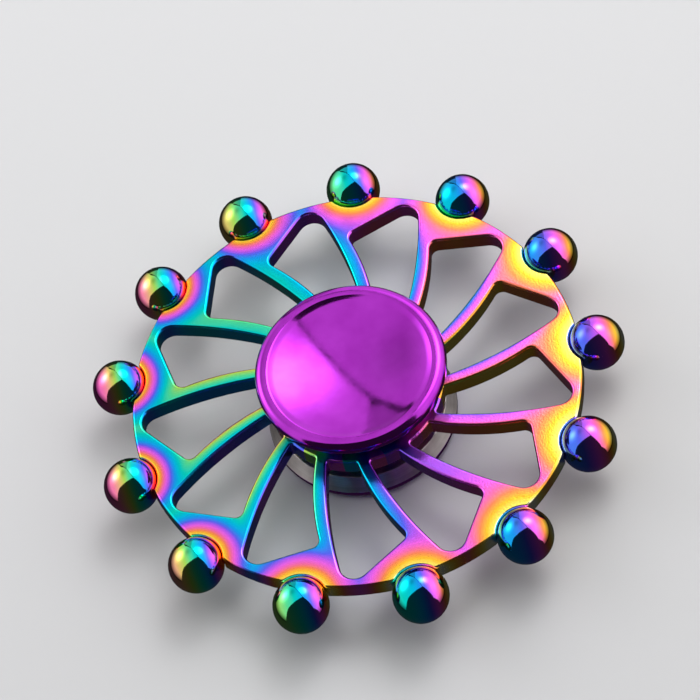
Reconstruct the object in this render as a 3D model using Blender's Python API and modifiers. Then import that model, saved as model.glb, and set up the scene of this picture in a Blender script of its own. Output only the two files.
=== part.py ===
"""A wheel fidget spinner: a spoked wheel with thirteen steel balls in its rim, which turns on a caged
ball bearing between two dished finger caps.

Units are metres and +Z is up. The spin axis is the Z axis, and z = 0 is the plane that the bottom
cap's rim rests on. Ball 01 lies on +Y, and the others follow clockwise as seen from above.
"""

import math

import bmesh
import bpy
from mathutils import Matrix, Vector
from mathutils.geometry import interpolate_bezier

MM = 0.001

# Weight balls in the rim
WEIGHT_BALLS = 13
WEIGHT_BALL_DIAMETER = 6.35 * MM
BALL_CIRCLE_RADIUS = 27.8 * MM
SEAT_CLEARANCE = 0.06 * MM  # the bond between a ball and its seat
SEAT_WRAP = 0.15 * MM  # the plate's outline reaches this far inside the ball, and the seat trims it

# Wheel frame
PLATE_THICKNESS = 2.4 * MM
PLATE_EDGE = 0.35 * MM  # chamfer round the rim, the seats and the windows
RIM_INSET = 1.9 * MM  # from the ball circle in to the rim's edge
HUB_RADIUS = 10.15 * MM
SLEEVE_WALL = 1.9 * MM  # the thick ring round the bearing, under the caps
SLEEVE_OVERLAP = 1.0 * MM  # how far the plate and the sleeve run into each other
SLEEVE_CHAMFER = 0.2 * MM
BEARING_PROUD = 0.18 * MM  # each face of the bearing stands this far out of the sleeve
PRESS_GAP = 0.02 * MM

# Windows between the spokes. Angles are in degrees from the ball's direction, anticlockwise from above.
WINDOW_NEAR_OUT = 0.67  # the corner behind the ball's seat, as a share of the way from hub to rim
WINDOW_NEAR_ANGLE = 1.9
WINDOW_FAR_INSET = -0.27 * MM  # the corner midway between two balls, before it is rounded
WINDOW_FAR_ANGLE = -16.9
WINDOW_HUB_ANGLES = (-33.5, -13.9)
NEAR_SIDE_BOW = 0.050  # how far the middle of a spoke's side is off the straight line, against its length
FAR_SIDE_BOW = 0.0465
NEAR_CORNER_RADIUS = 0.9 * MM
FAR_CORNER_RADIUS = 1.75 * MM
HUB_CORNER_RADIUS = 0.3 * MM

# Bearing: inch size R188, open, with a crown cage
BEARING_BORE = 6.35 * MM
BEARING_DIAMETER = 12.7 * MM
BEARING_WIDTH = 4.7625 * MM
BEARING_BALLS = 10
BEARING_BALL_DIAMETER = 1.5875 * MM
GROOVE_CLEARANCE = 0.04 * MM
GROOVE_DEPTH = 0.26 * MM
RACE_CHAMFER = 0.2 * MM
CAGE_WALL = 0.62 * MM
CAGE_WEB = 0.45 * MM  # under the pockets
CAGE_CLAW = 0.45 * MM  # above the middle of the balls
POCKET_CLEARANCE = 0.07 * MM

# Finger caps. Heights are measured from the middle of the bearing towards the finger.
CAP_RADIUS = 10.95 * MM
CAP_THICKNESS = 3.0 * MM
CAP_BACK_RADIUS = 9.85 * MM
CAP_TAPER_HEIGHT = 1.75 * MM
CAP_BAND_HEIGHT = 0.3 * MM
CAP_LAND_INNER_RADIUS = 9.45 * MM  # the narrow flat ring that the spinner rests on
CAP_LAND_WIDTH = 0.5 * MM
CAP_LIP_WIDTH = 0.5 * MM
CAP_LIP_DROP = 0.25 * MM
DISH_DEPTH = 1.35 * MM
SHOULDER_HEIGHT = 0.37 * MM
SHOULDER_GAP = 0.02 * MM
BOSS_CLEARANCE = 0.04 * MM
BOSS_JOINT_OFFSET = 0.3 * MM  # the two bosses meet this far above the middle of the bearing
BOSS_JOINT_GAP = 0.1 * MM
STUD_DIAMETER = 4.0 * MM
STUD_LENGTH = 3.4 * MM
THREAD_CLEARANCE = 0.05 * MM
TAPPED_HOLE_SPARE = 0.2 * MM

# Fineness of the faceted solids
WEIGHT_BALL_SEGMENTS = 16
BEARING_BALL_SEGMENTS = 12
TURN_STEPS = 40
ARC_STEPS = 4
SEAT_STEPS = 6
SIDE_STEPS = 3

PITCH = 360 / WEIGHT_BALLS
WEIGHT_BALL_RADIUS = WEIGHT_BALL_DIAMETER / 2
RIM_RADIUS = BALL_CIRCLE_RADIUS - RIM_INSET
BORE_RADIUS = BEARING_DIAMETER / 2 + PRESS_GAP
SLEEVE_RADIUS = BORE_RADIUS + SLEEVE_WALL
RACE_PITCH_RADIUS = (BEARING_BORE + BEARING_DIAMETER) / 4
BEARING_BALL_RADIUS = BEARING_BALL_DIAMETER / 2
CAP_BACK = BEARING_WIDTH / 2 + SHOULDER_HEIGHT
CAP_FRONT = CAP_BACK + CAP_THICKNESS
MIDDLE = Matrix.Translation((0, 0, CAP_FRONT))  # from the middle of the bearing to the resting plane
MERGE_DISTANCE = 1e-6


def clear_scene():
    for obj in list(bpy.data.objects):
        bpy.data.objects.remove(obj, do_unlink=True)


def new_collection(name):
    collection = bpy.data.collections.new(name)
    bpy.context.scene.collection.children.link(collection)
    return collection


def metal(name, colour, roughness):
    material = bpy.data.materials.new(name)
    material.use_nodes = True
    shader = material.node_tree.nodes["Principled BSDF"]
    shader.inputs["Base Color"].default_value = (*colour, 1)
    shader.inputs["Roughness"].default_value = roughness
    shader.inputs["Metallic"].default_value = 1
    material.diffuse_color = (*colour, 1)
    return material


def add_object(name, mesh, collection, material=None, matrix=MIDDLE):
    obj = bpy.data.objects.new(name, mesh)
    obj.matrix_world = matrix
    if material:
        mesh.materials.clear()
        mesh.materials.append(material)
    collection.objects.link(obj)
    return obj


def make_cutter(obj):
    obj.hide_render = True
    obj.display_type = "WIRE"
    return obj


def add_boolean(obj, operation, other):
    modifier = obj.modifiers.new(operation.title(), "BOOLEAN")
    modifier.operation = operation
    modifier.object = other


def polar(radius, degrees):
    angle = math.radians(degrees)
    return Vector((radius * math.cos(angle), radius * math.sin(angle), 0))


def arc(centre, radius, start, end, steps):
    """Points on an arc from start to end degrees, both included."""
    angles = [start + (end - start) * i / steps for i in range(steps + 1)]
    return [centre + polar(radius, angle) for angle in angles]


def ball_direction(number):
    """The direction in degrees of weight ball number 0, 1, 2 and so on."""
    return 90 - number * PITCH


# Turned pieces


def turned(name, profile, collection, material=None, ring=False):
    """A solid turned about the Z axis from (radius, height) points, which run down its outer side.

    A ring's profile closes on itself. Any other profile starts and ends on the axis.
    """
    mesh = bpy.data.meshes.new(name)
    edges = [(i, i + 1) for i in range(len(profile) - 1)]
    if ring:
        edges.append((len(profile) - 1, 0))
    mesh.from_pydata([(radius, 0, height) for radius, height in profile], edges, [])
    obj = add_object(name, mesh, collection, material)
    screw = obj.modifiers.new("Turn", "SCREW")
    screw.steps = screw.render_steps = TURN_STEPS
    screw.use_merge_vertices = True
    screw.merge_threshold = MERGE_DISTANCE
    return obj


def chamfered_tube(inner, outer, half_height, chamfer):
    """The ring profile of a tube whose four edges are chamfered."""
    return [
        (inner + chamfer, half_height),
        (outer - chamfer, half_height),
        (outer, half_height - chamfer),
        (outer, chamfer - half_height),
        (outer - chamfer, -half_height),
        (inner + chamfer, -half_height),
        (inner, chamfer - half_height),
        (inner, half_height - chamfer),
    ]


# Balls


def ball_mesh(name, radius, segments):
    mesh = bpy.data.meshes.new(name)
    shape = bmesh.new()
    bmesh.ops.create_uvsphere(shape, u_segments=segments, v_segments=segments // 2, radius=radius)
    shape.to_mesh(mesh)
    shape.free()
    mesh.shade_smooth()
    return mesh


def ball_places(radius, directions):
    """A matrix for each ball on a circle, turned so that every ball faces the axis the same way."""
    return [
        MIDDLE @ Matrix.Rotation(math.radians(direction), 4, "Z") @ Matrix.Translation((radius, 0, 0))
        for direction in directions
    ]


def add_balls(name, radius, segments, places, collection, material):
    mesh = ball_mesh(name, radius, segments)
    for number, place in enumerate(places, 1):
        add_object(f"{name}_{number:02d}", mesh, collection, material, place)


def ball_cutter(name, radius, segments, places, collection):
    """One cutter that holds a separate ball at each place."""
    mesh = bpy.data.meshes.new(name)
    shape = bmesh.new()
    for place in places:
        bmesh.ops.create_uvsphere(
            shape,
            u_segments=segments,
            v_segments=segments // 2,
            radius=radius,
            matrix=MIDDLE.inverted() @ place,
        )
    shape.to_mesh(mesh)
    shape.free()
    return make_cutter(add_object(name, mesh, collection))


# Wheel frame


def bowed_edge(start, end, bow):
    """A gentle curve as (start, control, end), whose middle is bow to the right of the straight line."""
    along = (end - start).normalized()
    right = Vector((along.y, -along.x, 0))
    return start, (start + end) / 2 + 2 * bow * right, end


def on_edge(edge, share):
    """The point and the direction at a share of the way along an edge."""
    start, control, end = edge
    point = (1 - share) ** 2 * start + 2 * share * (1 - share) * control + share**2 * end
    direction = (1 - share) * (control - start) + share * (end - control)
    return point, direction.normalized()


def rounded_loop(edges, radii, side_steps, corner_steps):
    """The points of a closed loop of edges. radii[i] rounds the corner where edge i begins."""
    trims = []
    handles = []
    for i, radius in enumerate(radii):
        turn = on_edge(edges[i - 1], 1)[1].angle(on_edge(edges[i], 0)[1])
        trims.append(radius * math.tan(turn / 2))
        handles.append(radius * 4 / 3 * math.tan(turn / 4))
    points = []
    for i, edge in enumerate(edges):
        following = (i + 1) % len(edges)
        length = (edge[2] - edge[0]).length
        first, last = trims[i] / length, 1 - trims[following] / length
        for step in range(side_steps):
            points.append(on_edge(edge, first + (last - first) * step / side_steps)[0])
        next_edge = edges[following]
        next_length = (next_edge[2] - next_edge[0]).length
        begin, begin_way = on_edge(edge, last)
        finish, finish_way = on_edge(next_edge, trims[following] / next_length)
        reach = handles[following]
        corner = interpolate_bezier(
            begin, begin + begin_way * reach, finish - finish_way * reach, finish, corner_steps + 1
        )
        points.extend(corner[:-1])
    return points


def window_outline(direction):
    """The window clockwise of one ball, from the hub's clockwise corner round by the rim."""
    far_hub, near_hub = (polar(HUB_RADIUS, direction + angle) for angle in WINDOW_HUB_ANGLES)
    near_radius = HUB_RADIUS + (RIM_RADIUS - HUB_RADIUS) * WINDOW_NEAR_OUT
    near = polar(near_radius, direction + WINDOW_NEAR_ANGLE)
    far = polar(RIM_RADIUS - WINDOW_FAR_INSET, direction + WINDOW_FAR_ANGLE)
    half_span = math.radians(WINDOW_HUB_ANGLES[1] - WINDOW_HUB_ANGLES[0]) / 2
    hub_bow = HUB_RADIUS * (1 - math.cos(half_span))
    edges = [
        bowed_edge(far_hub, near_hub, hub_bow),
        bowed_edge(near_hub, near, NEAR_SIDE_BOW * (near - near_hub).length),
        bowed_edge(near, far, 0),
        bowed_edge(far, far_hub, -FAR_SIDE_BOW * (far - far_hub).length),
    ]
    radii = [HUB_CORNER_RADIUS, HUB_CORNER_RADIUS, NEAR_CORNER_RADIUS, FAR_CORNER_RADIUS]
    return rounded_loop(edges, radii, SIDE_STEPS, ARC_STEPS)


def rim_outline():
    """The rim's edge, which dips round each ball."""
    seat_radius = WEIGHT_BALL_RADIUS - SEAT_WRAP
    # Seen from the ball's centre, the seat opens this far either side of the way to the axis.
    reach = (BALL_CIRCLE_RADIUS**2 + seat_radius**2 - RIM_RADIUS**2) / (2 * BALL_CIRCLE_RADIUS * seat_radius)
    opening = math.degrees(math.acos(reach))
    corner = math.degrees(math.asin(seat_radius * math.sin(math.radians(opening)) / RIM_RADIUS))
    points = []
    for number in range(WEIGHT_BALLS):
        direction = ball_direction(number)
        centre = polar(BALL_CIRCLE_RADIUS, direction)
        inward = direction + 180
        points += arc(centre, seat_radius, inward - opening, inward + opening, SEAT_STEPS)
        rim = arc(Vector(), RIM_RADIUS, direction - corner, direction - PITCH + corner, SIDE_STEPS)
        points += rim[1:-1]
    return points


def add_spline(curve, points):
    spline = curve.splines.new("POLY")
    spline.points.add(len(points) - 1)
    for target, point in zip(spline.points, points):
        target.co = (point.x, point.y, 0, 1)
    spline.use_cyclic_u = True


def plate_mesh(name):
    """The flat wheel with its windows and chamfered edges, as a mesh centred on z = 0."""
    curve = bpy.data.curves.new(name, "CURVE")
    curve.dimensions = "2D"
    curve.fill_mode = "BOTH"
    curve.extrude = PLATE_THICKNESS / 2 - PLATE_EDGE
    curve.bevel_depth = PLATE_EDGE
    curve.bevel_resolution = 0
    curve.offset = -PLATE_EDGE
    add_spline(curve, rim_outline())
    for number in range(WEIGHT_BALLS):
        add_spline(curve, window_outline(ball_direction(number)))
    # The chamfer is wanted on the outline only, and the sleeve covers it round this hole.
    hole = arc(Vector(), SLEEVE_RADIUS - SLEEVE_OVERLAP, 0, 360, TURN_STEPS)
    add_spline(curve, hole[:-1])
    guide = bpy.data.objects.new(name, curve)
    bpy.context.scene.collection.objects.link(guide)
    graph = bpy.context.evaluated_depsgraph_get()
    mesh = bpy.data.meshes.new_from_object(guide.evaluated_get(graph))
    bpy.data.objects.remove(guide)
    bpy.data.curves.remove(curve)
    shape = bmesh.new()
    shape.from_mesh(mesh)
    bmesh.ops.remove_doubles(shape, verts=shape.verts, dist=MERGE_DISTANCE)
    bmesh.ops.recalc_face_normals(shape, faces=shape.faces)
    shape.to_mesh(mesh)
    shape.free()
    return mesh


def add_wheel_frame(parts, cutters, material, places):
    frame = add_object("wheel_frame", plate_mesh("wheel_frame"), parts, material)
    half_height = BEARING_WIDTH / 2 - BEARING_PROUD
    sleeve_profile = chamfered_tube(BORE_RADIUS, SLEEVE_RADIUS, half_height, SLEEVE_CHAMFER)
    sleeve = turned("hub_sleeve", sleeve_profile, cutters, ring=True)
    add_boolean(frame, "UNION", make_cutter(sleeve))
    seat_radius = WEIGHT_BALL_RADIUS + SEAT_CLEARANCE
    seats = ball_cutter("ball_seats", seat_radius, WEIGHT_BALL_SEGMENTS, places, cutters)
    add_boolean(frame, "DIFFERENCE", seats)


# Bearing


def groove(bottom, outward):
    """The (radius, height) points of a race's ball groove, from its upper edge down.

    outward is 1 for the outer race, whose groove lies outside the balls, and -1 for the inner race.
    """
    radius = BEARING_BALL_RADIUS + GROOVE_CLEARANCE
    half_angle = math.acos((radius - GROOVE_DEPTH) / radius)
    centre = bottom - outward * radius
    points = []
    for step in range(ARC_STEPS + 1):
        angle = half_angle * (1 - 2 * step / ARC_STEPS)
        points.append((centre + outward * radius * math.cos(angle), radius * math.sin(angle)))
    return points


def add_races(parts, material):
    half = BEARING_WIDTH / 2
    reach = BEARING_BALL_RADIUS + GROOVE_CLEARANCE
    outer_groove = groove(RACE_PITCH_RADIUS + reach, 1)
    inner_groove = groove(RACE_PITCH_RADIUS - reach, -1)
    outer_land = outer_groove[0][0]
    inner_land = inner_groove[0][0]
    outside = BEARING_DIAMETER / 2
    bore = BEARING_BORE / 2
    outer = [
        (outer_land, half),
        (outside - RACE_CHAMFER, half),
        (outside, half - RACE_CHAMFER),
        (outside, RACE_CHAMFER - half),
        (outside - RACE_CHAMFER, -half),
        (outer_land, -half),
    ]
    turned("bearing_outer_race", outer + outer_groove[::-1], parts, material, ring=True)
    inner = [
        (inner_land, -half),
        (bore + RACE_CHAMFER, -half),
        (bore, RACE_CHAMFER - half),
        (bore, half - RACE_CHAMFER),
        (bore + RACE_CHAMFER, half),
        (inner_land, half),
    ]
    turned("bearing_inner_race", inner_groove + inner, parts, material, ring=True)
    return inner_land


def add_cage(parts, cutters, material, places):
    """A crown cage: a ring with an open pocket round each ball."""
    inner = RACE_PITCH_RADIUS - CAGE_WALL / 2
    outer = RACE_PITCH_RADIUS + CAGE_WALL / 2
    pocket_radius = BEARING_BALL_RADIUS + POCKET_CLEARANCE
    bottom = -pocket_radius - CAGE_WEB
    ring = [(inner, CAGE_CLAW), (outer, CAGE_CLAW), (outer, bottom), (inner, bottom)]
    cage = turned("bearing_cage", ring, parts, material, ring=True)
    pockets = ball_cutter("cage_pockets", pocket_radius, BEARING_BALL_SEGMENTS, places, cutters)
    add_boolean(cage, "DIFFERENCE", pockets)


# Finger caps


def cap_front_profile():
    """A cap's finger side, from the middle of its dish out over the rim and down to its back."""
    land_outer = CAP_LAND_INNER_RADIUS + CAP_LAND_WIDTH
    lip_radius = CAP_LAND_INNER_RADIUS - CAP_LIP_WIDTH
    lip_height = CAP_FRONT - CAP_LIP_DROP
    band_top = CAP_BACK + CAP_TAPER_HEIGHT + CAP_BAND_HEIGHT
    bowl_radius = (lip_radius**2 + DISH_DEPTH**2) / (2 * DISH_DEPTH)
    bowl_centre = lip_height - DISH_DEPTH + bowl_radius
    bowl_angle = math.asin(lip_radius / bowl_radius)
    points = []
    for step in range(ARC_STEPS + 1):
        angle = bowl_angle * step / ARC_STEPS
        points.append((bowl_radius * math.sin(angle), bowl_centre - bowl_radius * math.cos(angle)))
    points.append((CAP_LAND_INNER_RADIUS, CAP_FRONT))
    for step in range(ARC_STEPS + 1):
        angle = math.pi / 2 * (1 - step / ARC_STEPS)
        across = land_outer + (CAP_RADIUS - land_outer) * math.cos(angle)
        points.append((across, band_top + (CAP_FRONT - band_top) * math.sin(angle)))
    points.append((CAP_RADIUS, CAP_BACK + CAP_TAPER_HEIGHT))
    points.append((CAP_BACK_RADIUS, CAP_BACK))
    return points


def cap_back_profile(shoulder_radius, boss_end):
    """A cap's shoulder on the inner race and its boss in the bore."""
    shoulder_end = BEARING_WIDTH / 2 + SHOULDER_GAP
    boss_radius = BEARING_BORE / 2 - BOSS_CLEARANCE
    return [
        (shoulder_radius, CAP_BACK),
        (shoulder_radius, shoulder_end),
        (boss_radius, shoulder_end),
        (boss_radius, boss_end),
    ]


def add_caps(parts, top_material, bottom_material, inner_race_land):
    shoulder_radius = inner_race_land - RACE_CHAMFER
    stud_radius = STUD_DIAMETER / 2
    stud_end = BOSS_JOINT_OFFSET - STUD_LENGTH
    top_boss_end = BOSS_JOINT_OFFSET + BOSS_JOINT_GAP
    stud = [(stud_radius, top_boss_end), (stud_radius, stud_end), (0, stud_end)]
    top_back = cap_back_profile(shoulder_radius, top_boss_end)
    turned("top_cap", cap_front_profile() + top_back + stud, parts, top_material)
    # The bottom cap is turned with its finger side up, and then turned over.
    hole_radius = stud_radius + THREAD_CLEARANCE
    hole_end = TAPPED_HOLE_SPARE - stud_end
    tapped_hole = [(hole_radius, -BOSS_JOINT_OFFSET), (hole_radius, hole_end), (0, hole_end)]
    bottom_back = cap_back_profile(shoulder_radius, -BOSS_JOINT_OFFSET)
    profile = cap_front_profile() + bottom_back + tapped_hole
    bottom = turned("bottom_cap", profile, parts, bottom_material)
    bottom.matrix_world = MIDDLE @ Matrix.Rotation(math.pi, 4, "X")


def main():
    clear_scene()
    parts = new_collection("fidget_spinner")
    cutters = new_collection("cutters")
    wheel_film = metal("wheel_rainbow", (0.42, 0.35, 0.75), 0.28)
    ball_film = metal("ball_rainbow", (0.3, 0.5, 0.65), 0.08)
    purple = metal("cap_purple", (0.42, 0.04, 0.55), 0.16)
    steel = metal("bearing_steel", (0.6, 0.61, 0.63), 0.18)
    cage_steel = metal("cage_steel", (0.45, 0.43, 0.4), 0.35)

    seats = ball_places(BALL_CIRCLE_RADIUS, [ball_direction(i) for i in range(WEIGHT_BALLS)])
    add_balls("weight_ball", WEIGHT_BALL_RADIUS, WEIGHT_BALL_SEGMENTS, seats, parts, ball_film)
    add_wheel_frame(parts, cutters, wheel_film, seats)

    steps = [90 - i * 360 / BEARING_BALLS for i in range(BEARING_BALLS)]
    rolling = ball_places(RACE_PITCH_RADIUS, steps)
    add_balls("bearing_ball", BEARING_BALL_RADIUS, BEARING_BALL_SEGMENTS, rolling, parts, steel)
    add_cage(parts, cutters, cage_steel, rolling)
    inner_race_land = add_races(parts, steel)
    add_caps(parts, purple, purple, inner_race_land)


main()
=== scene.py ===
"""Looks for the wheel fidget spinner: fine meshes, thin-film metals, a pale floor and a soft light tent."""

import math

import bmesh
import bpy
from mathutils import Matrix, Vector
from mathutils.geometry import interpolate_bezier


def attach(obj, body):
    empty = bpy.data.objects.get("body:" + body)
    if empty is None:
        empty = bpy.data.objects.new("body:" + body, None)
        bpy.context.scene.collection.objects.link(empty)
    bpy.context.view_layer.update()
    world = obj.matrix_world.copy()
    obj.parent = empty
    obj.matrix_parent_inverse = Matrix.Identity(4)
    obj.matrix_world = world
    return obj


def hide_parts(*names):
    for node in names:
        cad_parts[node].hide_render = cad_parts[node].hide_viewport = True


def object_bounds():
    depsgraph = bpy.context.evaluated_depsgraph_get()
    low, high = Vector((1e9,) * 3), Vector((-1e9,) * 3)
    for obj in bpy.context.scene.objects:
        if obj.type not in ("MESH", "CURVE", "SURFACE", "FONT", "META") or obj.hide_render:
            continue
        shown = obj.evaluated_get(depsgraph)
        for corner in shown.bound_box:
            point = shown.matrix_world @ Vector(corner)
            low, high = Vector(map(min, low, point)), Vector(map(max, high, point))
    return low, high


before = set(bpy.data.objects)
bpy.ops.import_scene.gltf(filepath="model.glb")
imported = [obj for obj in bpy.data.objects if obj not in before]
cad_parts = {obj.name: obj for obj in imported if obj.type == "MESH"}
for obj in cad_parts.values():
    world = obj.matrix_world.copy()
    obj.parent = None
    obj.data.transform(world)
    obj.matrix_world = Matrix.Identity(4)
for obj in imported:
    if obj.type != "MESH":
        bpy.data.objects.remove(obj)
cad_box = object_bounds()

MM = 0.001
MIDDLE = (cad_box[0].z + cad_box[1].z) / 2  # height of the wheel's middle plane

# Wheel frame and weight balls
WEIGHT_BALLS = 13
PITCH = 360 / WEIGHT_BALLS
WEIGHT_BALL_RADIUS = 3.175 * MM
BALL_CIRCLE_RADIUS = 27.8 * MM
SEAT_CLEARANCE = 0.06 * MM
SEAT_OUTLINE_RADIUS = 3.025 * MM
HALF_PLATE = 1.2 * MM
PLATE_EDGE = 0.35 * MM
RIM_RADIUS = 25.9 * MM
HORN_TRIM = 0.3 * MM
HUB_RADIUS = 10.15 * MM
BORE_RADIUS = 6.37 * MM
SLEEVE_RADIUS = 8.27 * MM
SLEEVE_HALF_HEIGHT = 2.20125 * MM
SLEEVE_FILLET = 0.3 * MM
WINDOW_NEAR = (RIM_RADIUS - 5.2 * MM, 1.9)
WINDOW_FAR = (RIM_RADIUS + 0.27 * MM, -16.9)
WINDOW_HUB_ANGLES = (-33.5, -13.9)
NEAR_SIDE_BOW = 0.564 * MM
SPOKE_SWEEP = 1.27  # degrees that a spoke's middle line turns in each millimetre outwards
SPOKE_HUB_ANGLE = -9.1
SPOKE_HALF_WIDTH = 0.75 * MM
FAR_SIDE_BOW = 0.776 * MM
WINDOW_CORNERS = (0.3 * MM, 0.3 * MM, 0.9 * MM, 1.75 * MM)

# Bearing
BEARING_BALLS = 10
BEARING_HALF_WIDTH = 2.38125 * MM
BEARING_BALL_RADIUS = 0.79375 * MM
RACE_PITCH_RADIUS = 4.7625 * MM
RACE_BORE_RADIUS = 3.175 * MM
RACE_OUTSIDE_RADIUS = 6.35 * MM
GROOVE_CLEARANCE = 0.04 * MM
GROOVE_DEPTH = 0.26 * MM
RACE_CHAMFER = 0.2 * MM

# Caps, with heights from the middle plane towards the finger
CAP_BACK = 2.75125 * MM
CAP_FRONT = 5.75125 * MM
CAP_RADIUS = 10.95 * MM
CAP_BACK_RADIUS = 9.85 * MM
CAP_TAPER_TOP = 4.50125 * MM
CAP_BAND_TOP = 4.80125 * MM
LAND_INNER = 9.45 * MM
LAND_OUTER = 9.95 * MM
LIP_RADIUS = 8.95 * MM
LIP_DROP = 0.25 * MM
DISH_DEPTH = 1.35 * MM
BOSS_RADIUS = 3.135 * MM
TOP_BOSS_END = 0.4 * MM
STUD_RADIUS = 2.0 * MM
STUD_END = -3.1 * MM
BOTTOM_BOSS_END = -0.3 * MM
HOLE_RADIUS = 2.05 * MM
HOLE_END = 3.3 * MM

TURN_STEPS = 180
ARC_STEPS = 10
SEAT_STEPS = 28
RIM_STEPS = 16
SIDE_STEPS = 14
CORNER_STEPS = 10
ROUND_STEPS = 5


# Shapes


def polar(radius, degrees, height=0.0):
    angle = math.radians(degrees)
    return Vector((radius * math.cos(angle), radius * math.sin(angle), height))


def arc(centre, radius, start, end, steps):
    return [centre + polar(radius, start + (end - start) * i / steps) for i in range(steps + 1)]


def ball_direction(number):
    return 90 - number * PITCH


def keep_flat(mesh, heights):
    """Smooth normals, but straight up or down at these heights above and below the middle plane."""
    normals = []
    for vertex in mesh.vertices:
        off = vertex.co.z - MIDDLE
        level = any(abs(abs(off) - height) < 1e-7 for height in heights)
        normals.append((0, 0, math.copysign(1, off)) if level else vertex.normal)
    mesh.normals_split_custom_set_from_vertices(normals)


def add_piece(name, shape, body, materials, replaced=(), flat_heights=()):
    """A piece in the row frame from a bmesh that is centred on the wheel's middle plane."""
    bmesh.ops.translate(shape, verts=shape.verts, vec=(0, 0, MIDDLE))
    mesh = bpy.data.meshes.new(name)
    shape.to_mesh(mesh)
    shape.free()
    for material in materials:
        mesh.materials.append(material)
    mesh.shade_smooth()
    obj = bpy.data.objects.new(name, mesh)
    bpy.context.scene.collection.objects.link(obj)
    if flat_heights:
        keep_flat(mesh, flat_heights)
    else:
        obj.modifiers.new("Normals", "WEIGHTED_NORMAL").keep_sharp = True
    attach(obj, body)
    if replaced:
        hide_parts(*replaced)
    return obj


def soften(profile, radius, steps=4, closed=False):
    """The (radius, height) profile with its corners rounded."""
    count = len(profile)
    result = []
    for i, corner in enumerate(profile):
        if not closed and i in (0, count - 1):
            result.append(corner)
            continue
        here = Vector(corner)
        before = Vector(profile[i - 1])
        after = Vector(profile[(i + 1) % count])
        into, out = here - before, after - here
        if into.length == 0 or out.length == 0 or into.angle(out) < math.radians(14):
            result.append(corner)
            continue
        trim = min(radius, into.length * 0.45, out.length * 0.45)
        start = here - into.normalized() * trim
        end = here + out.normalized() * trim
        for step in range(steps + 1):
            t = step / steps
            point = (1 - t) ** 2 * start + 2 * t * (1 - t) * here + t * t * end
            result.append((point.x, point.y))
    return result


def turned(profile, ring=False, flip=False, second_from=None, steps=TURN_STEPS):
    """A closed mesh turned about Z. Faces from profile point second_from on take the second material."""
    shape = bmesh.new()
    columns = []
    for step in range(steps):
        direction = 360 * step / steps
        column = []
        for radius, height in profile:
            if radius < 1e-7:
                column.append(None)
            else:
                column.append(shape.verts.new(polar(radius, direction, height)))
        columns.append(column)
    poles = {
        i: shape.verts.new((0, 0, height)) for i, (radius, height) in enumerate(profile) if radius < 1e-7
    }
    pairs = [(i, i + 1) for i in range(len(profile) - 1)]
    if ring:
        pairs.append((len(profile) - 1, 0))
    for step in range(steps):
        this, following = columns[step], columns[(step + 1) % steps]
        for a, b in pairs:
            corners = [this[a] or poles[a], this[b] or poles[b]]
            corners += [v for v in (following[b], following[a]) if v]
            if len(corners) > 2:
                face = shape.faces.new(corners)
                if second_from is not None and a >= second_from:
                    face.material_index = 1
    if flip:
        bmesh.ops.rotate(shape, verts=shape.verts, matrix=Matrix.Rotation(math.pi, 3, "X"))
    bmesh.ops.recalc_face_normals(shape, faces=shape.faces)
    return shape


def sphere(centre, radius, segments):
    shape = bmesh.new()
    bmesh.ops.create_uvsphere(shape, u_segments=segments, v_segments=segments // 2, radius=radius)
    bmesh.ops.translate(shape, verts=shape.verts, vec=centre)
    return shape


# Wheel frame


def bowed_edge(start, end, bow):
    along = (end - start).normalized()
    right = Vector((along.y, -along.x, 0))
    return start, (start + end) / 2 + 2 * bow * right, end


def on_edge(edge, share):
    start, control, end = edge
    point = (1 - share) ** 2 * start + 2 * share * (1 - share) * control + share**2 * end
    direction = (1 - share) * (control - start) + share * (end - control)
    return point, direction.normalized()


def rounded_loop(edges, radii):
    """A closed loop of edges. radii[i] rounds the corner where edge i begins."""
    trims = []
    handles = []
    for i, radius in enumerate(radii):
        turn = on_edge(edges[i - 1], 1)[1].angle(on_edge(edges[i], 0)[1])
        trims.append(radius * math.tan(turn / 2))
        handles.append(radius * 4 / 3 * math.tan(turn / 4))
    points = []
    for i, edge in enumerate(edges):
        following = (i + 1) % len(edges)
        length = (edge[2] - edge[0]).length
        first, last = trims[i] / length, 1 - trims[following] / length
        for step in range(SIDE_STEPS):
            points.append(on_edge(edge, first + (last - first) * step / SIDE_STEPS)[0])
        next_edge = edges[following]
        next_length = (next_edge[2] - next_edge[0]).length
        begin, begin_way = on_edge(edge, last)
        finish, finish_way = on_edge(next_edge, trims[following] / next_length)
        reach = handles[following]
        corner = interpolate_bezier(
            begin, begin + begin_way * reach, finish - finish_way * reach, finish, CORNER_STEPS + 1
        )
        points.extend(corner[:-1])
    return points


def window_outline(direction):
    far_hub, near_hub = (polar(HUB_RADIUS, direction + angle) for angle in WINDOW_HUB_ANGLES)
    near = polar(WINDOW_NEAR[0], direction + WINDOW_NEAR[1])
    far = polar(WINDOW_FAR[0], direction + WINDOW_FAR[1])
    half_span = math.radians(WINDOW_HUB_ANGLES[1] - WINDOW_HUB_ANGLES[0]) / 2
    edges = [
        bowed_edge(far_hub, near_hub, HUB_RADIUS * (1 - math.cos(half_span))),
        bowed_edge(near_hub, near, NEAR_SIDE_BOW),
        bowed_edge(near, far, 0),
        bowed_edge(far, far_hub, -FAR_SIDE_BOW),
    ]
    return rounded_loop(edges, WINDOW_CORNERS)


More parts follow.
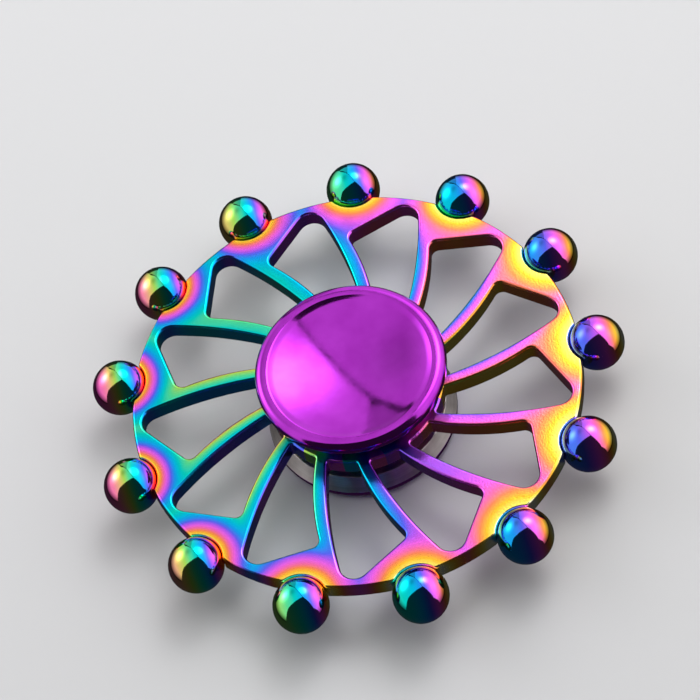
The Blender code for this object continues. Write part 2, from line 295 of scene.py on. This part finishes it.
def rim_outline():
    """The rim's edge, with how much each point belongs to a ball's seat, from 0 to 1."""
    reach = (BALL_CIRCLE_RADIUS**2 + SEAT_OUTLINE_RADIUS**2 - RIM_RADIUS**2) / (
        2 * BALL_CIRCLE_RADIUS * SEAT_OUTLINE_RADIUS
    )
    opening = math.degrees(math.acos(reach))
    corner = math.degrees(math.asin(SEAT_OUTLINE_RADIUS * math.sin(math.radians(opening)) / RIM_RADIUS))
    seat_trim = math.degrees(HORN_TRIM / SEAT_OUTLINE_RADIUS)
    rim_trim = math.degrees(HORN_TRIM / RIM_RADIUS)
    points = []
    shares = []

    def horn(start, tip, end, leaving_seat):
        for step in range(1, ROUND_STEPS):
            t = step / ROUND_STEPS
            points.append((1 - t) ** 2 * start + 2 * t * (1 - t) * tip + t * t * end)
            shares.append(1 - t if leaving_seat else t)

    for number in range(WEIGHT_BALLS):
        direction = ball_direction(number)
        centre = polar(BALL_CIRCLE_RADIUS, direction)
        inward = direction + 180
        half_seat = opening - seat_trim
        seat = arc(centre, SEAT_OUTLINE_RADIUS, inward - half_seat, inward + half_seat, SEAT_STEPS)
        points += seat
        shares += [1] * len(seat)
        rim_start, rim_end = direction - corner - rim_trim, direction - PITCH + corner + rim_trim
        tip = polar(RIM_RADIUS, direction - corner)
        rim = arc(Vector(), RIM_RADIUS, rim_start, rim_end, RIM_STEPS)
        horn(seat[-1], tip, rim[0], True)
        points += rim
        shares += [0] * len(rim)
        next_direction = ball_direction(number + 1)
        next_centre = polar(BALL_CIRCLE_RADIUS, next_direction)
        next_seat = next_centre + polar(SEAT_OUTLINE_RADIUS, next_direction + 180 - opening + seat_trim)
        horn(rim[-1], polar(RIM_RADIUS, direction - PITCH + corner), next_seat, False)
    return points, shares


def into_material(points, hole):
    """The points in the order that keeps the material on their left, and the way into it at each."""
    area = sum(a.x * b.y - b.x * a.y for a, b in zip(points, points[1:] + points[:1]))
    turned_round = (area > 0) == hole
    if turned_round:
        points = points[::-1]
    ways = []
    count = len(points)
    for i, point in enumerate(points):
        before = (point - points[i - 1]).normalized()
        after = (points[(i + 1) % count] - point).normalized()
        along = (before + after).normalized()
        stretch = 1 / max(0.5, along.dot(after))
        ways.append(Vector((-along.y, along.x, 0)) * stretch)
    return points, ways, turned_round


def edge_rows():
    """Rows from the lower face's edge to the upper face's edge: height, inset, and inset in a seat."""
    seat_radius = WEIGHT_BALL_RADIUS + SEAT_CLEARANCE
    straight = HALF_PLATE - PLATE_EDGE

    def seat_inset(height):
        return math.sqrt(seat_radius**2 - height**2) - SEAT_OUTLINE_RADIUS

    upper = []
    for step in range(4):
        height = straight * step / 3
        upper.append((height, 0, seat_inset(height)))
    for step in range(1, ROUND_STEPS + 1):
        angle = math.pi / 2 * step / ROUND_STEPS
        rise = PLATE_EDGE * math.sin(angle)
        inset = PLATE_EDGE * (1 - math.cos(angle))
        seat = PLATE_EDGE - (PLATE_EDGE - seat_inset(straight)) * math.cos(angle)
        upper.append((straight + rise, inset, seat))
    return [(-height, inset, seat) for height, inset, seat in upper[:0:-1]] + upper


def add_edge_band(shape, points, hole, shares=None):
    """The rounded wall along one outline. Returns its lowest and highest rings of edges."""
    points, ways, turned_round = into_material(points, hole)
    shares = shares or [0] * len(points)
    if turned_round:
        shares = shares[::-1]
    rings = []
    for height, inset, seat in edge_rows():
        ring = []
        for point, way, share in zip(points, ways, shares):
            place = point + way * (inset + (seat - inset) * share)
            ring.append(shape.verts.new((place.x, place.y, height)))
        rings.append(ring)
    return join_rings(shape, rings)


def join_rings(shape, rings):
    for lower, upper in zip(rings, rings[1:]):
        for i in range(len(lower)):
            j = (i + 1) % len(lower)
            shape.faces.new((lower[i], lower[j], upper[j], upper[i]))
    shape.edges.ensure_lookup_table()
    found = []
    for ring in (rings[0], rings[-1]):
        found.append([shape.edges.get((ring[i], ring[(i + 1) % len(ring)])) for i in range(len(ring))])
    return found


def sleeve_profile():
    """From the plate's upper face at the hub, up over the sleeve and down its bore to the lower face."""
    fillet_centre = (SLEEVE_RADIUS + SLEEVE_FILLET, HALF_PLATE + SLEEVE_FILLET)
    upper = []
    for step in range(ROUND_STEPS + 1):
        angle = math.pi / 2 * step / ROUND_STEPS
        upper.append(
            (
                fillet_centre[0] - SLEEVE_FILLET * math.sin(angle),
                fillet_centre[1] - SLEEVE_FILLET * math.cos(angle),
            )
        )
    top = [
        (SLEEVE_RADIUS, SLEEVE_HALF_HEIGHT),
        (BORE_RADIUS, SLEEVE_HALF_HEIGHT),
        (BORE_RADIUS, 0),
    ]
    half = soften(upper + top, 0.22 * MM)
    return half + [(radius, -height) for radius, height in half[-2::-1]]


def wheel_shape():
    shape = bmesh.new()
    lower_edges, upper_edges = [], []
    rim_points, rim_shares = rim_outline()
    outlines = [(rim_points, False, rim_shares)]
    outlines += [(window_outline(ball_direction(number)), True, None) for number in range(WEIGHT_BALLS)]
    for points, hole, shares in outlines:
        lower, upper = add_edge_band(shape, points, hole, shares)
        lower_edges += lower
        upper_edges += upper
    rings = []
    for radius, height in sleeve_profile():
        rings.append(
            [shape.verts.new(polar(radius, 360 * i / TURN_STEPS, height)) for i in range(TURN_STEPS)]
        )
    upper, lower = join_rings(shape, rings)
    for edges in (upper_edges + upper, lower_edges + lower):
        bmesh.ops.triangle_fill(shape, edges=edges, use_beauty=True)
    bmesh.ops.recalc_face_normals(shape, faces=shape.faces)
    return shape


# Turned profiles


def groove(bottom, outward):
    radius = BEARING_BALL_RADIUS + GROOVE_CLEARANCE
    half_angle = math.acos((radius - GROOVE_DEPTH) / radius)
    centre = bottom - outward * radius
    points = []
    for step in range(ARC_STEPS + 1):
        angle = half_angle * (1 - 2 * step / ARC_STEPS)
        points.append((centre + outward * radius * math.cos(angle), radius * math.sin(angle)))
    return points


def race_profiles():
    half = BEARING_HALF_WIDTH
    reach = BEARING_BALL_RADIUS + GROOVE_CLEARANCE
    outer_groove = groove(RACE_PITCH_RADIUS + reach, 1)
    inner_groove = groove(RACE_PITCH_RADIUS - reach, -1)
    outer = [
        (outer_groove[0][0], half),
        (RACE_OUTSIDE_RADIUS - RACE_CHAMFER, half),
        (RACE_OUTSIDE_RADIUS, half - RACE_CHAMFER),
        (RACE_OUTSIDE_RADIUS, RACE_CHAMFER - half),
        (RACE_OUTSIDE_RADIUS - RACE_CHAMFER, -half),
        (outer_groove[0][0], -half),
    ]
    inner = [
        (inner_groove[0][0], -half),
        (RACE_BORE_RADIUS + RACE_CHAMFER, -half),
        (RACE_BORE_RADIUS, RACE_CHAMFER - half),
        (RACE_BORE_RADIUS, half - RACE_CHAMFER),
        (RACE_BORE_RADIUS + RACE_CHAMFER, half),
        (inner_groove[0][0], half),
    ]
    rounding = 0.06 * MM
    outer_loop = soften(outer + outer_groove[::-1], rounding, 2, True)
    inner_loop = soften(inner_groove + inner, rounding, 2, True)
    return outer_loop, inner_loop, inner_groove[0][0]


def cap_front():
    """The finger side, from the middle of the dish out over the rim and down to the back."""
    lip_height = CAP_FRONT - LIP_DROP
    bowl_radius = (LIP_RADIUS**2 + DISH_DEPTH**2) / (2 * DISH_DEPTH)
    bowl_centre = lip_height - DISH_DEPTH + bowl_radius
    bowl_angle = math.asin(LIP_RADIUS / bowl_radius)
    points = []
    bowl_steps = 3 * ARC_STEPS
    for step in range(bowl_steps + 1):
        angle = bowl_angle * step / bowl_steps
        points.append((bowl_radius * math.sin(angle), bowl_centre - bowl_radius * math.cos(angle)))
    lip = [points.pop(), (LAND_INNER, CAP_FRONT), (LAND_OUTER, CAP_FRONT)]
    points += soften([points[-1]] + lip, 0.16 * MM)[1:-1]
    for step in range(ARC_STEPS + 1):
        angle = math.pi / 2 * (1 - step / ARC_STEPS)
        across = LAND_OUTER + (CAP_RADIUS - LAND_OUTER) * math.cos(angle)
        points.append((across, CAP_BAND_TOP + (CAP_FRONT - CAP_BAND_TOP) * math.sin(angle)))
    points += soften([points[-1], (CAP_RADIUS, CAP_TAPER_TOP), (CAP_BACK_RADIUS, CAP_BACK)], 0.08 * MM)[1:]
    return points


def cap_profile(shoulder_radius, ending):
    shoulder_end = BEARING_HALF_WIDTH + 0.02 * MM
    boss_radius = RACE_BORE_RADIUS - 0.04 * MM
    back = [
        cap_front()[-2],
        (CAP_BACK_RADIUS, CAP_BACK),
        (shoulder_radius, CAP_BACK),
        (shoulder_radius, shoulder_end),
        (boss_radius, shoulder_end),
    ]
    return cap_front()[:-2] + soften(back + ending, 0.1 * MM)


# Materials


class Nodes:
    """Short ways to add and join nodes in one tree."""

    def __init__(self, tree):
        self.tree = tree

    def add(self, kind, **settings):
        node = self.tree.nodes.new(kind)
        for key, value in settings.items():
            setattr(node, key, value)
        return node

    def join(self, source, target):
        if hasattr(source, "is_output"):
            self.tree.links.new(source, target)
        else:
            target.default_value = source

    def math(self, operation, *values, clamp=False):
        node = self.add("ShaderNodeMath", operation=operation, use_clamp=clamp)
        for value, target in zip(values, node.inputs):
            self.join(value, target)
        return node.outputs[0]

    def vector(self, operation, *values):
        node = self.add("ShaderNodeVectorMath", operation=operation)
        for value, target in zip(values, node.inputs):
            self.join(value, target)
        return node.outputs["Value"] if operation in ("DOT_PRODUCT", "LENGTH") else node.outputs[0]

    def noise(self, vector, scale, detail=2.0):
        node = self.add("ShaderNodeTexNoise")
        self.join(vector, node.inputs["Vector"])
        node.inputs["Scale"].default_value = scale
        node.inputs["Detail"].default_value = detail
        return node.outputs[0]

    def spread(self, value, low, high, to_low, to_high):
        node = self.add("ShaderNodeMapRange")
        for key, item in zip(
            ("Value", "From Min", "From Max", "To Min", "To Max"), (value, low, high, to_low, to_high)
        ):
            self.join(item, node.inputs[key])
        return node.outputs[0]

    def ramp(self, value, stops):
        node = self.add("ShaderNodeValToRGB")
        elements = node.color_ramp.elements
        ends = [elements[0], elements[1]]
        for element, (position, _) in zip(ends, (stops[0], stops[-1])):
            element.position = position
        for position, _ in stops[1:-1]:
            elements.new(position)
        for element, (_, colour) in zip(elements, stops):
            element.color = (*linear(colour), 1)
        self.join(value, node.inputs["Fac"])
        return node.outputs["Color"]

    def bump(self, height, strength, distance):
        node = self.add("ShaderNodeBump")
        node.inputs["Strength"].default_value = strength
        node.inputs["Distance"].default_value = distance
        self.join(height, node.inputs["Height"])
        return node.outputs["Normal"]


def linear(colour):
    """Linear light from 0 to 255 display values."""
    return [((c / 255 + 0.055) / 1.055) ** 2.4 if c > 10 else c / 255 / 12.92 for c in colour]


def metal(name, roughness):
    material = bpy.data.materials.new(name)
    material.use_nodes = True
    shader = material.node_tree.nodes["Principled BSDF"]
    shader.inputs["Metallic"].default_value = 1
    shader.inputs["Roughness"].default_value = roughness
    return material, Nodes(material.node_tree), shader


# The film's interference colours in order of its thickness, which run past green to a second pink.
FILM_END = 1.4
FILM = [
    (0.00, (255, 253, 222)),
    (0.09, (255, 236, 110)),
    (0.18, (253, 190, 50)),
    (0.27, (250, 135, 85)),
    (0.36, (247, 108, 170)),
    (0.45, (238, 100, 228)),
    (0.54, (182, 92, 240)),
    (0.62, (90, 100, 240)),
    (0.71, (30, 150, 240)),
    (0.80, (5, 185, 225)),
    (0.90, (8, 206, 188)),
    (1.00, (86, 220, 148)),
    (1.09, (165, 215, 90)),
    (1.18, (225, 190, 110)),
    (1.28, (245, 130, 165)),
    (1.40, (225, 70, 190)),
]
FILM_STOPS = [(position / FILM_END, colour) for position, colour in FILM]
CAMERA_TURN = 13.07  # degrees from -Y to the camera's side, anticlockwise from above
THICK_SIDE = polar(1, 165 + CAMERA_TURN)  # the wheel's film grows thicker this way


def nearest_ball_group():
    """A point's offset from the middle of the weight ball whose sector it is in."""
    tree = bpy.data.node_groups.new("nearest_ball", "ShaderNodeTree")
    tree.interface.new_socket("Position", in_out="INPUT", socket_type="NodeSocketVector")
    tree.interface.new_socket("Offset", in_out="OUTPUT", socket_type="NodeSocketVector")
    tree.interface.new_socket("Centre", in_out="OUTPUT", socket_type="NodeSocketVector")
    tree.interface.new_socket("Distance", in_out="OUTPUT", socket_type="NodeSocketFloat")
    n = Nodes(tree)
    start, end = n.add("NodeGroupInput"), n.add("NodeGroupOutput")
    parts = n.add("ShaderNodeSeparateXYZ")
    n.join(start.outputs[0], parts.inputs[0])
    angle = n.math("ARCTAN2", parts.outputs["Y"], parts.outputs["X"])
    pitch = math.radians(PITCH)
    steps = n.math("ROUND", n.math("DIVIDE", n.math("SUBTRACT", angle, math.pi / 2), pitch))
    snapped = n.math("MULTIPLY_ADD", steps, pitch, math.pi / 2)
    centre = n.add("ShaderNodeCombineXYZ")
    n.join(n.math("MULTIPLY", n.math("COSINE", snapped), BALL_CIRCLE_RADIUS), centre.inputs["X"])
    n.join(n.math("MULTIPLY", n.math("SINE", snapped), BALL_CIRCLE_RADIUS), centre.inputs["Y"])
    centre.inputs["Z"].default_value = MIDDLE
    offset = n.vector("SUBTRACT", start.outputs[0], centre.outputs[0])
    flat = n.vector("MULTIPLY", offset, (1, 1, 0))
    n.join(offset, end.inputs["Offset"])
    n.join(centre.outputs[0], end.inputs["Centre"])
    n.join(n.vector("LENGTH", flat), end.inputs["Distance"])
    return tree


def film_parts(n):
    """Object coordinates and normals, and the nearest ball's outputs."""
    place = n.add("ShaderNodeTexCoord")
    near = n.add("ShaderNodeGroup", node_tree=bpy.data.node_groups["nearest_ball"])
    n.join(place.outputs["Object"], near.inputs[0])
    return place.outputs["Object"], place.outputs["Normal"], near.outputs


def spoke_across(n, angle, radius):
    """How far a point is off its spoke's middle line, anticlockwise, from about -1 to 1 at its edges."""
    sweep = math.radians(SPOKE_SWEEP) / MM
    start = math.radians(90 + SPOKE_HUB_ANGLE) - sweep * HUB_RADIUS
    middle = n.math("MULTIPLY_ADD", radius, sweep, start)
    off = n.math("WRAP", n.math("SUBTRACT", angle, middle), math.radians(PITCH / 2), math.radians(-PITCH / 2))
    off = n.math("MULTIPLY", n.math("MULTIPLY", off, radius), 1 / SPOKE_HALF_WIDTH)
    off = n.math("MINIMUM", n.math("MAXIMUM", off, -1.3), 1.3)
    return n.math("MULTIPLY", off, n.spread(radius, 18 * MM, 23 * MM, 1.0, 0.0))


def wheel_film():
    """The frame's film: thin and yellow round each seat, and thicker away from it and to one side. Its colour
    also shifts by which way each face turns, which is a painted reflection.
    """
    material, n, shader = metal("wheel_rainbow", 0.2)
    place, normal, near = film_parts(n)
    flat = n.vector("MULTIPLY", place, (1, 1, 0))
    radius = n.vector("LENGTH", flat)
    side = n.vector("DOT_PRODUCT", n.vector("NORMALIZE", flat), THICK_SIDE)
    parts = n.add("ShaderNodeSeparateXYZ")
    n.join(place, parts.inputs[0])
    angle = n.math("ARCTAN2", parts.outputs["Y"], parts.outputs["X"])
    body = n.math("MULTIPLY_ADD", side, 0.28, 0.71)
    body = n.math("MULTIPLY_ADD", n.math("MULTIPLY", side, side), 0.03, body)
    from_lip = n.math("SUBTRACT", near["Distance"], 2.9 * MM)
    spread = n.spread(side, -0.9, 0.9, 3.4 * MM, 2.0 * MM)
    reach = n.math("POWER", n.math("MAXIMUM", n.math("DIVIDE", from_lip, spread), 0.0), 1.6)
    fade = n.math("EXPONENT", n.math("MULTIPLY", reach, -1.0))
    growth = n.math("SUBTRACT", 1.0, fade)
    patches = n.math("MULTIPLY_ADD", n.noise(place, 170.0), 0.12, -0.06)
    lean = n.math("COSINE", n.math("SUBTRACT", angle, math.radians(25 + CAMERA_TURN)))
    across = n.math("MULTIPLY", n.math("MULTIPLY", spoke_across(n, angle, radius), lean), 0.2)
    # Painted reflection: faces turned one way get their colour shifted, standing in for what they mirror, not
    # for the film's thickness.
    painted_reflection_shift = n.math("MULTIPLY", n.vector("DOT_PRODUCT", normal, polar(1, 115 + CAMERA_TURN)), 0.16)
    phase = n.math("ADD", n.math("ADD", body, patches), across)
    phase = n.math("MULTIPLY_ADD", n.math("SUBTRACT", phase, 0.09), growth, 0.09)
    phase = n.math("ADD", phase, painted_reflection_shift)
    n.join(n.ramp(n.math("DIVIDE", phase, FILM_END), FILM_STOPS), shader.inputs["Base Color"])
    grain = n.noise(place, 4200.0, 3.0)
    sandy_side = n.spread(side, -0.2, -0.8, 0.25, 1.0)
    smudges = n.noise(place, 420.0, 4.0)
    n.join(n.math("MULTIPLY_ADD", smudges, 0.16, 0.12), shader.inputs["Roughness"])
    height = n.math("MULTIPLY", grain, sandy_side)
    n.join(n.bump(height, 0.8, 0.02 * MM), shader.inputs["Normal"])
    return material


def ball_film():
    """The balls' film, whose colours run across each ball and drift from ball to ball."""
    material, n, shader = metal("ball_rainbow", 0.08)
    place, _, near = film_parts(n)
    side = n.math("DIVIDE", n.vector("DOT_PRODUCT", near["Centre"], THICK_SIDE), BALL_CIRCLE_RADIUS)
    along = n.vector("DOT_PRODUCT", near["Offset"], polar(1, CAMERA_TURN))
    local = n.math("DIVIDE", along, WEIGHT_BALL_RADIUS)
    base = n.math("MULTIPLY_ADD", side, 0.27, 0.79)
    slope = n.math("MULTIPLY_ADD", side, -0.12, -0.46)
    patches = n.math("MULTIPLY_ADD", n.noise(place, 260.0), 0.08, -0.04)
    phase = n.math("ADD", n.math("MULTIPLY_ADD", local, slope, base), patches)
    phase = n.math("MULTIPLY_ADD", n.math("MULTIPLY", local, local), -0.25, phase)
    n.join(n.ramp(n.math("DIVIDE", phase, FILM_END), FILM_STOPS), shader.inputs["Base Color"])
    n.join(n.math("MULTIPLY_ADD", n.noise(place, 900.0, 4.0), 0.08, 0.03), shader.inputs["Roughness"])
    n.join(n.bump(n.noise(place, 1600.0, 2.0), 0.25, 0.01 * MM), shader.inputs["Normal"])
    return material


def cap_film():
    """Polished purple with faint turning rings, a little orange peel and a few specks."""
    material, n, shader = metal("cap_purple", 0.12)
    place = n.add("ShaderNodeTexCoord").outputs["Object"]
    tone = n.noise(place, 220.0, 3.0)
    stops = [(0.3, (162, 44, 182)), (0.7, (180, 58, 202))]
    n.join(n.ramp(tone, stops), shader.inputs["Base Color"])
    n.join(n.math("MULTIPLY_ADD", n.noise(place, 700.0, 5.0), 0.12, 0.05), shader.inputs["Roughness"])
    across = n.vector("LENGTH", n.vector("MULTIPLY", place, (1, 1, 0)))
    rings = n.math("SINE", n.math("MULTIPLY", across, 2 * math.pi / (0.16 * MM)))
    peel = n.noise(place, 1500.0, 2.0)
    height = n.math("MULTIPLY_ADD", rings, 0.12, peel)
    n.join(n.bump(height, 0.3, 0.008 * MM), shader.inputs["Normal"])
    return material


def turned_metal(name, dark, light, roughness, line_pitch):
    """Bare metal with the rings that turning leaves."""
    material, n, shader = metal(name, roughness)
    place = n.add("ShaderNodeTexCoord").outputs["Object"]
    across = n.vector("LENGTH", n.vector("MULTIPLY", place, (1, 1, 0)))
    ring_place = n.add("ShaderNodeCombineXYZ")
    n.join(across, ring_place.inputs["X"])
    lines = n.noise(ring_place.outputs[0], 1 / line_pitch, 3.0)
    stains = n.noise(place, 500.0, 4.0)
    tone = n.math("ADD", n.math("MULTIPLY", lines, 0.6), n.math("MULTIPLY", stains, 0.4))
    n.join(n.ramp(tone, [(0.35, dark), (0.65, light)]), shader.inputs["Base Color"])
    n.join(n.math("MULTIPLY_ADD", lines, 0.25, roughness - 0.1), shader.inputs["Roughness"])
    n.join(n.bump(lines, 0.5, 0.02 * MM), shader.inputs["Normal"])
    return material


def bearing_steel():
    material, n, shader = metal("bearing_steel", 0.15)
    place = n.add("ShaderNodeTexCoord").outputs["Object"]
    tone = n.noise(place, 900.0, 4.0)
    n.join(n.ramp(tone, [(0.3, (168, 170, 174)), (0.7, (208, 209, 211))]), shader.inputs["Base Color"])
    n.join(n.math("MULTIPLY_ADD", tone, 0.2, 0.06), shader.inputs["Roughness"])
    n.join(n.bump(n.noise(place, 3500.0, 2.0), 0.2, 0.005 * MM), shader.inputs["Normal"])
    return material


# Scene


def camera_axes():
    elevation, side, roll = (math.radians(v) for v in (56.91, CAMERA_TURN, -16.48))
    right = Vector((math.cos(side), math.sin(side), 0))
    ahead = Vector((-math.sin(side), math.cos(side), 0))
    back = -math.cos(elevation) * ahead + math.sin(elevation) * Vector((0, 0, 1))
    up = back.cross(right)
    across = math.cos(roll) * right + math.sin(roll) * up
    upward = -math.sin(roll) * right + math.cos(roll) * up
    return across, upward, back


def add_camera():
    across, upward, back = camera_axes()
    data = bpy.data.cameras.new("camera")
    data.lens, data.sensor_width, data.clip_start = 174.5, 36, 0.01
    camera = bpy.data.objects.new("camera", data)
    centre = Vector((0, 0, MIDDLE))
    place = centre + 386.7 * MM * back - 0.798 * MM * across + 4.593 * MM * upward
    camera.matrix_world = Matrix.Translation(place) @ Matrix((across, upward, back)).transposed().to_4x4()
    bpy.context.scene.collection.objects.link(camera)
    bpy.context.scene.camera = camera


def add_stage(name, corners, material):
    mesh = bpy.data.meshes.new(name)
    mesh.from_pydata(corners, [], [range(len(corners))])
    mesh.materials.append(material)
    obj = bpy.data.objects.new(name, mesh)
    bpy.context.scene.collection.objects.link(obj)
    return obj


def add_floor():
    material = bpy.data.materials.new("floor")
    material.use_nodes = True
    shader = material.node_tree.nodes["Principled BSDF"]
    shader.inputs["Base Color"].default_value = (0.62, 0.62, 0.63, 1)
    shader.inputs["Roughness"].default_value = 0.9
    reach = 4.0
    corners = [(-reach, -reach, 0), (reach, -reach, 0), (reach, reach, 0), (-reach, reach, 0)]
    floor = add_stage("floor", corners, material)
    floor.location.z = -0.05 * MM
    floor.visible_glossy = False


def glow(name, base, spots):
    """A panel's light: even, with soft brighter spots as (direction, angular radius, strength)."""
    material = bpy.data.materials.new(name)
    material.use_nodes = True
    tree = material.node_tree
    tree.nodes.clear()
    n = Nodes(tree)
    place = n.add("ShaderNodeTexCoord").outputs["Object"]
    direction = n.vector("NORMALIZE", place)
    total = base
    for spot, radius, strength in spots:
        away = n.vector("LENGTH", n.vector("SUBTRACT", direction, spot))
        fall = n.math("EXPONENT", n.math("MULTIPLY", n.math("POWER", away, 2.0), -1 / radius**2))
        total = n.math("MULTIPLY_ADD", fall, strength, total)
    parts = n.add("ShaderNodeSeparateXYZ")
    n.join(direction, parts.inputs[0])
    total = n.math("MULTIPLY", total, n.spread(parts.outputs["Z"], -0.33, 0.12, 0.0, 1.0))
    emission = n.add("ShaderNodeEmission")
    n.join(total, emission.inputs["Strength"])
    output = n.add("ShaderNodeOutputMaterial")
    n.join(emission.outputs[0], output.inputs["Surface"])
    return material


def add_panel(name, rows, material):
    """A sheet through rows of points. It lights the object and is mirrored in it, but isn't seen."""
    mesh = bpy.data.meshes.new(name)
    width = len(rows[0])
    faces = []
    for row in range(len(rows) - 1):
        for i in range(width - 1):
            start = row * width + i
            faces.append((start, start + 1, start + width + 1, start + width))
    mesh.from_pydata([point for row in rows for point in row], [], faces)
    mesh.materials.append(material)
    panel = bpy.data.objects.new(name, mesh)
    bpy.context.scene.collection.objects.link(panel)
    panel.visible_camera = panel.visible_shadow = False


def add_light_tent():
    """Two sloping panels that meet in a ridge overhead, open towards the camera, and a narrow back panel."""
    turn = Matrix.Rotation(math.radians(CAMERA_TURN), 3, "Z")

    def at(direction, distance=1.0):
        return turn @ (Vector(direction).normalized() * distance)

    gap = turn @ Vector((0.009, 0, 0))
    ridge = [at((0.27, 0.0, 0.96), 0.62), at((0.1, 0.38, 0.86), 0.64), at((-0.065, 0.74, 0.67), 0.68)]
    left = [
        [point - gap for point in ridge],
        [at((-0.77, -0.28, 0.57), 0.66), at((-0.85, 0.35, 0.40), 0.75), at((-0.28, 0.90, 0.33), 0.9)],
        [at((-0.88, -0.42, 0.05), 0.8), at((-0.93, 0.36, 0.02), 0.85), at((-0.28, 0.95, 0.05), 0.95)],
        [at((-0.83, -0.42, -0.36), 0.9), at((-0.88, 0.3, -0.36), 0.9), at((-0.27, 0.9, -0.34), 1.0)],
    ]
    right = [
        [point + gap for point in ridge],
        [at((0.69, -0.64, 0.34), 0.72), at((0.85, 0.15, 0.50), 0.7), at((0.02, 0.92, 0.38), 0.9)],
        [at((0.80, -0.60, -0.02), 0.8), at((0.98, 0.18, 0.02), 0.85), at((0.04, 0.99, 0.05), 0.95)],
        [at((0.75, -0.55, -0.36), 0.9), at((0.92, 0.15, -0.36), 0.9), at((0.05, 0.93, -0.34), 1.0)],
    ]
    back = [
        [at((-0.10, 0.80, 0.60), 1.0), at((0.0, 0.80, 0.60), 1.0)],
        [at((-0.28, 0.96, 0.02), 1.0), at((0.06, 0.99, 0.02), 1.0)],
    ]
    left_spots = [(at((-0.69, 0.54, 0.48)), 0.26, 3.0), (at((-0.36, 0.56, 0.75)), 0.25, -0.5)]
    right_spots = [(at((0.80, 0.03, 0.60)), 0.40, 0.6), (at((0.38, 0.46, 0.80)), 0.22, 6.0)]
    add_panel("left_panel", left, glow("left_panel", 1.0, left_spots))
    add_panel("right_panel", right, glow("right_panel", 1.12, right_spots))
    add_panel("back_panel", back, glow("back_panel", 0.6, []))


def add_floor_light():
    """Overhead light for the floor alone, which the metal doesn't mirror."""
    data = bpy.data.lights.new("overhead", "AREA")
    data.shape, data.size, data.energy = "SQUARE", 1.2, 3.0
    light = bpy.data.objects.new("overhead", data)
    light.location = (0.2, 0.3, 1.3)
    light.rotation_euler = (Vector((0, 0, 0)) - Vector(light.location)).to_track_quat("-Z", "Y").to_euler()
    light.visible_camera = light.visible_glossy = False
    bpy.context.scene.collection.objects.link(light)


def add_world():
    world = bpy.data.worlds.new("world")
    world.use_nodes = True
    background = world.node_tree.nodes["Background"]
    background.inputs["Color"].default_value = (0.9, 0.93, 1.0, 1)
    background.inputs["Strength"].default_value = 0.035
    bpy.context.scene.world = world


def main():
    nearest_ball_group()
    wheel = wheel_film()
    balls = ball_film()
    purple = cap_film()
    bare = turned_metal("cap_back", (168, 157, 155), (222, 214, 212), 0.32, 0.12 * MM)
    steel = bearing_steel()
    cage = turned_metal("cage_steel", (140, 134, 126), (182, 176, 168), 0.36, 0.2 * MM)

    flats = (HALF_PLATE, SLEEVE_HALF_HEIGHT)
    plate = wheel_shape()
    add_piece("wheel_frame_fine", plate, "wheel", [wheel], ["wheel_frame"], flats)
    for number in range(WEIGHT_BALLS):
        centre = polar(BALL_CIRCLE_RADIUS, ball_direction(number))
        name = f"weight_ball_{number + 1:02d}"
        ball = sphere(centre, WEIGHT_BALL_RADIUS, 64)
        add_piece(f"{name}_fine", ball, "wheel", [balls], [name])

    outer, inner, inner_land = race_profiles()
    outer_race = turned(outer, ring=True)
    add_piece("outer_race_fine", outer_race, "wheel", [steel], ["bearing_outer_race"])
    inner_race = turned(inner, ring=True)
    add_piece("inner_race_fine", inner_race, "caps", [steel], ["bearing_inner_race"])
    for number in range(BEARING_BALLS):
        centre = polar(RACE_PITCH_RADIUS, 90 - number * 360 / BEARING_BALLS)
        name = f"bearing_ball_{number + 1:02d}"
        ball = sphere(centre, BEARING_BALL_RADIUS, 32)
        body = f"roller_{number + 1:02d}"
        add_piece(f"{name}_fine", ball, body, [steel], [name])
    cage_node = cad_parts["bearing_cage"]
    cage_node.data.materials.clear()
    cage_node.data.materials.append(cage)

    shoulder = inner_land - RACE_CHAMFER
    stud = [(BOSS_RADIUS, TOP_BOSS_END), (STUD_RADIUS, TOP_BOSS_END), (STUD_RADIUS, STUD_END), (0, STUD_END)]
    taper_start = len(cap_front()) - 2
    top = turned(cap_profile(shoulder, stud), second_from=taper_start)
    add_piece("top_cap_fine", top, "caps", [purple, bare], ["top_cap"])
    hole = [(BOSS_RADIUS, BOTTOM_BOSS_END), (HOLE_RADIUS, BOTTOM_BOSS_END)]
    hole += [(HOLE_RADIUS, HOLE_END), (0, HOLE_END)]
    bottom = turned(cap_profile(shoulder, hole), flip=True, second_from=taper_start)
    add_piece("bottom_cap_fine", bottom, "caps", [purple, bare], ["bottom_cap"])

    add_floor()
    add_light_tent()
    add_floor_light()
    add_world()
    add_camera()
    bpy.context.scene.view_settings.view_transform = "Standard"


main()
